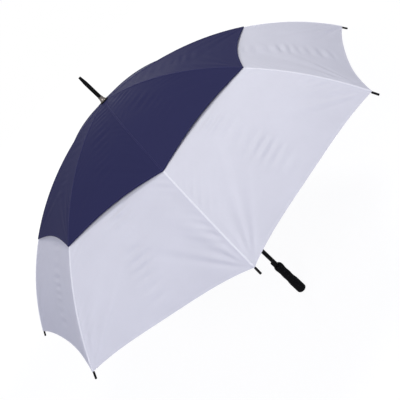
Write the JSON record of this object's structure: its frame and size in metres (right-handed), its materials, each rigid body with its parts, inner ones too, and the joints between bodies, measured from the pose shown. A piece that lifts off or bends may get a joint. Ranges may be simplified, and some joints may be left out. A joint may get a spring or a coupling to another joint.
{
  "type": "golf umbrella",
  "caption": "Vented golf umbrella, open: layered scalloped cloth canopy on hinged ribs, straight tubular shaft with a sprung runner, push button, straight soft grip and slim ferrule.",
  "frame": {"origin": "on the shaft's axis, halfway up the straight stretch of the grip", "axes": "+Z along the shaft to the ferrule, -X the way the push button points, -Y along the first rib"},
  "size_m": [1.3158, 1.3158, 1.004],
  "materials": {
    "black_steel": "satin black paint",
    "black_gloss": "glossy",
    "bright_metal": "polished",
    "black_plastic": "satin",
    "plain_steel": "bright drawn wire",
    "grip_rubber": "matte, fine grain",
    "rib_rod": "black fibre composite",
    "white_cloth": "coated woven polyester",
    "navy_cloth": "coated woven polyester"
  },
  "bodies": {
    "frame": {"shaft": "black_steel", "ferrule": "black_gloss", "ferrule_flare": "bright_metal", "washer": "black_plastic", "crown": "black_plastic", "crown_pins": "plain_steel", "crown_rivet": "plain_steel", "stop_pin": "plain_steel", "grip": "grip_rubber", "grip_cap": "black_plastic"},
    "button": {"button": "black_plastic"},
    "runner": {"runner": "black_plastic", "spring": "plain_steel"},
    "slider": {"slider": "black_plastic"},
    "rib_1": {"rib_1": "rib_rod", "lower_canopy_1": "white_cloth", "upper_canopy_1": "navy_cloth"},
    "rib_2": {"rib_2": "rib_rod", "lower_canopy_2": "white_cloth", "upper_canopy_2": "navy_cloth"},
    "rib_3": {"rib_3": "rib_rod", "lower_canopy_3": "white_cloth", "upper_canopy_3": "navy_cloth"},
    "rib_4": {"rib_4": "rib_rod", "lower_canopy_4": "white_cloth", "upper_canopy_4": "navy_cloth"},
    "rib_5": {"rib_5": "rib_rod", "lower_canopy_5": "white_cloth", "upper_canopy_5": "navy_cloth"},
    "rib_6": {"rib_6": "rib_rod", "lower_canopy_6": "white_cloth", "upper_canopy_6": "navy_cloth"},
    "rib_7": {"rib_7": "rib_rod", "lower_canopy_7": "white_cloth", "upper_canopy_7": "navy_cloth"},
    "rib_8": {"rib_8": "rib_rod", "lower_canopy_8": "white_cloth", "upper_canopy_8": "navy_cloth"},
    "stretcher_1": {"stretcher_1": "black_steel"},
    "stretcher_2": {"stretcher_2": "black_steel"},
    "stretcher_3": {"stretcher_3": "black_steel"},
    "stretcher_4": {"stretcher_4": "black_steel"},
    "stretcher_5": {"stretcher_5": "black_steel"},
    "stretcher_6": {"stretcher_6": "black_steel"},
    "stretcher_7": {"stretcher_7": "black_steel"},
    "stretcher_8": {"stretcher_8": "black_steel"},
    "link_1": {"link_1": "black_steel"},
    "link_2": {"link_2": "black_steel"},
    "link_3": {"link_3": "black_steel"},
    "link_4": {"link_4": "black_steel"},
    "link_5": {"link_5": "black_steel"},
    "link_6": {"link_6": "black_steel"},
    "link_7": {"link_7": "black_steel"},
    "link_8": {"link_8": "black_steel"}
  },
  "joints": [
    {"name": "runner_slide", "type": "slide", "parent": "frame", "child": "runner", "axis": [0, 0, 1], "range_m": [-0.3255, 0], "stiffness_N_per_m": 110, "springref_m": 0.16, "deforming": ["spring", "lower_canopy_1", "upper_canopy_1", "lower_canopy_2", "upper_canopy_2", "lower_canopy_3", "upper_canopy_3", "lower_canopy_4", "upper_canopy_4", "lower_canopy_5", "upper_canopy_5", "lower_canopy_6", "upper_canopy_6", "lower_canopy_7", "upper_canopy_7", "lower_canopy_8", "upper_canopy_8"]},
    {"name": "slider_slide", "type": "slide", "parent": "frame", "child": "slider", "axis": [0, 0, 1], "range_m": [-0.3621, 0]},
    {"name": "button_press", "type": "slide", "parent": "frame", "child": "button", "axis": [1, 0, 0], "range_m": [0, 0.004], "stiffness_N_per_m": 400},
    {"name": "rib_1_swing", "type": "hinge", "parent": "frame", "child": "rib_1", "pos_m": [0, -0.0125, 0.87412], "axis": [1, 0, 0], "range_deg": [0, 60]},
    {"name": "stretcher_1_swing", "type": "hinge", "parent": "rib_1", "child": "stretcher_1", "pos_m": [0, -0.30039, 0.79963], "axis": [1, 0, 0], "range_deg": [-94.34, 0]},
    {"name": "link_1_swing", "type": "hinge", "parent": "stretcher_1", "child": "link_1", "pos_m": [0, -0.15154, 0.66294], "axis": [1, 0, 0], "range_deg": [-20.66, 0]},
    {"name": "rib_2_swing", "type": "hinge", "parent": "frame", "child": "rib_2", "pos_m": [0.00884, -0.00884, 0.87412], "axis": [0.7071, 0.7071, 0], "range_deg": [0, 60]},
    {"name": "stretcher_2_swing", "type": "hinge", "parent": "rib_2", "child": "stretcher_2", "pos_m": [0.21241, -0.21241, 0.79963], "axis": [0.7071, 0.7071, 0], "range_deg": [-94.34, 0]},
    {"name": "link_2_swing", "type": "hinge", "parent": "stretcher_2", "child": "link_2", "pos_m": [0.10716, -0.10716, 0.66294], "axis": [0.7071, 0.7071, 0], "range_deg": [-20.66, 0]},
    {"name": "rib_3_swing", "type": "hinge", "parent": "frame", "child": "rib_3", "pos_m": [0.0125, 0, 0.87412], "axis": [0, 1, 0], "range_deg": [0, 60]},
    {"name": "stretcher_3_swing", "type": "hinge", "parent": "rib_3", "child": "stretcher_3", "pos_m": [0.30039, 0, 0.79963], "axis": [0, 1, 0], "range_deg": [-94.34, 0]},
    {"name": "link_3_swing", "type": "hinge", "parent": "stretcher_3", "child": "link_3", "pos_m": [0.15154, 0, 0.66294], "axis": [0, 1, 0], "range_deg": [-20.66, 0]},
    {"name": "rib_4_swing", "type": "hinge", "parent": "frame", "child": "rib_4", "pos_m": [0.00884, 0.00884, 0.87412], "axis": [-0.7071, 0.7071, 0], "range_deg": [0, 60]},
    {"name": "stretcher_4_swing", "type": "hinge", "parent": "rib_4", "child": "stretcher_4", "pos_m": [0.21241, 0.21241, 0.79963], "axis": [-0.7071, 0.7071, 0], "range_deg": [-94.34, 0]},
    {"name": "link_4_swing", "type": "hinge", "parent": "stretcher_4", "child": "link_4", "pos_m": [0.10716, 0.10716, 0.66294], "axis": [-0.7071, 0.7071, 0], "range_deg": [-20.66, 0]},
    {"name": "rib_5_swing", "type": "hinge", "parent": "frame", "child": "rib_5", "pos_m": [0, 0.0125, 0.87412], "axis": [-1, 0, 0], "range_deg": [0, 60]},
    {"name": "stretcher_5_swing", "type": "hinge", "parent": "rib_5", "child": "stretcher_5", "pos_m": [0, 0.30039, 0.79963], "axis": [-1, 0, 0], "range_deg": [-94.34, 0]},
    {"name": "link_5_swing", "type": "hinge", "parent": "stretcher_5", "child": "link_5", "pos_m": [0, 0.15154, 0.66294], "axis": [-1, 0, 0], "range_deg": [-20.66, 0]},
    {"name": "rib_6_swing", "type": "hinge", "parent": "frame", "child": "rib_6", "pos_m": [-0.00884, 0.00884, 0.87412], "axis": [-0.7071, -0.7071, 0], "range_deg": [0, 60]},
    {"name": "stretcher_6_swing", "type": "hinge", "parent": "rib_6", "child": "stretcher_6", "pos_m": [-0.21241, 0.21241, 0.79963], "axis": [-0.7071, -0.7071, 0], "range_deg": [-94.34, 0]},
    {"name": "link_6_swing", "type": "hinge", "parent": "stretcher_6", "child": "link_6", "pos_m": [-0.10716, 0.10716, 0.66294], "axis": [-0.7071, -0.7071, 0], "range_deg": [-20.66, 0]},
    {"name": "rib_7_swing", "type": "hinge", "parent": "frame", "child": "rib_7", "pos_m": [-0.0125, 0, 0.87412], "axis": [0, -1, 0], "range_deg": [0, 60]},
    {"name": "stretcher_7_swing", "type": "hinge", "parent": "rib_7", "child": "stretcher_7", "pos_m": [-0.30039, 0, 0.79963], "axis": [0, -1, 0], "range_deg": [-94.34, 0]},
    {"name": "link_7_swing", "type": "hinge", "parent": "stretcher_7", "child": "link_7", "pos_m": [-0.15154, 0, 0.66294], "axis": [0, -1, 0], "range_deg": [-20.66, 0]},
    {"name": "rib_8_swing", "type": "hinge", "parent": "frame", "child": "rib_8", "pos_m": [-0.00884, -0.00884, 0.87412], "axis": [0.7071, -0.7071, 0], "range_deg": [0, 60]},
    {"name": "stretcher_8_swing", "type": "hinge", "parent": "rib_8", "child": "stretcher_8", "pos_m": [-0.21241, -0.21241, 0.79963], "axis": [0.7071, -0.7071, 0], "range_deg": [-94.34, 0]},
    {"name": "link_8_swing", "type": "hinge", "parent": "stretcher_8", "child": "link_8", "pos_m": [-0.10716, -0.10716, 0.66294], "axis": [0.7071, -0.7071, 0], "range_deg": [-20.66, 0]}
  ],
  "couplings": [
    {"joint": "slider_slide", "follows": "runner_slide", "ratio": 1.1122},
    {"joint": "rib_1_swing", "follows": "runner_slide", "rad_per_m": -3.2164},
    {"joint": "stretcher_1_swing", "follows": "runner_slide", "rad_per_m": 5.0573},
    {"joint": "link_1_swing", "follows": "runner_slide", "rad_per_m": 1.1074},
    {"joint": "rib_2_swing", "follows": "runner_slide", "rad_per_m": -3.2164},
    {"joint": "stretcher_2_swing", "follows": "runner_slide", "rad_per_m": 5.0573},
    {"joint": "link_2_swing", "follows": "runner_slide", "rad_per_m": 1.1074},
    {"joint": "rib_3_swing", "follows": "runner_slide", "rad_per_m": -3.2164},
    {"joint": "stretcher_3_swing", "follows": "runner_slide", "rad_per_m": 5.0573},
    {"joint": "link_3_swing", "follows": "runner_slide", "rad_per_m": 1.1074},
    {"joint": "rib_4_swing", "follows": "runner_slide", "rad_per_m": -3.2164},
    {"joint": "stretcher_4_swing", "follows": "runner_slide", "rad_per_m": 5.0573},
    {"joint": "link_4_swing", "follows": "runner_slide", "rad_per_m": 1.1074},
    {"joint": "rib_5_swing", "follows": "runner_slide", "rad_per_m": -3.2164},
    {"joint": "stretcher_5_swing", "follows": "runner_slide", "rad_per_m": 5.0573},
    {"joint": "link_5_swing", "follows": "runner_slide", "rad_per_m": 1.1074},
    {"joint": "rib_6_swing", "follows": "runner_slide", "rad_per_m": -3.2164},
    {"joint": "stretcher_6_swing", "follows": "runner_slide", "rad_per_m": 5.0573},
    {"joint": "link_6_swing", "follows": "runner_slide", "rad_per_m": 1.1074},
    {"joint": "rib_7_swing", "follows": "runner_slide", "rad_per_m": -3.2164},
    {"joint": "stretcher_7_swing", "follows": "runner_slide", "rad_per_m": 5.0573},
    {"joint": "link_7_swing", "follows": "runner_slide", "rad_per_m": 1.1074},
    {"joint": "rib_8_swing", "follows": "runner_slide", "rad_per_m": -3.2164},
    {"joint": "stretcher_8_swing", "follows": "runner_slide", "rad_per_m": 5.0573},
    {"joint": "link_8_swing", "follows": "runner_slide", "rad_per_m": 1.1074}
  ]
}
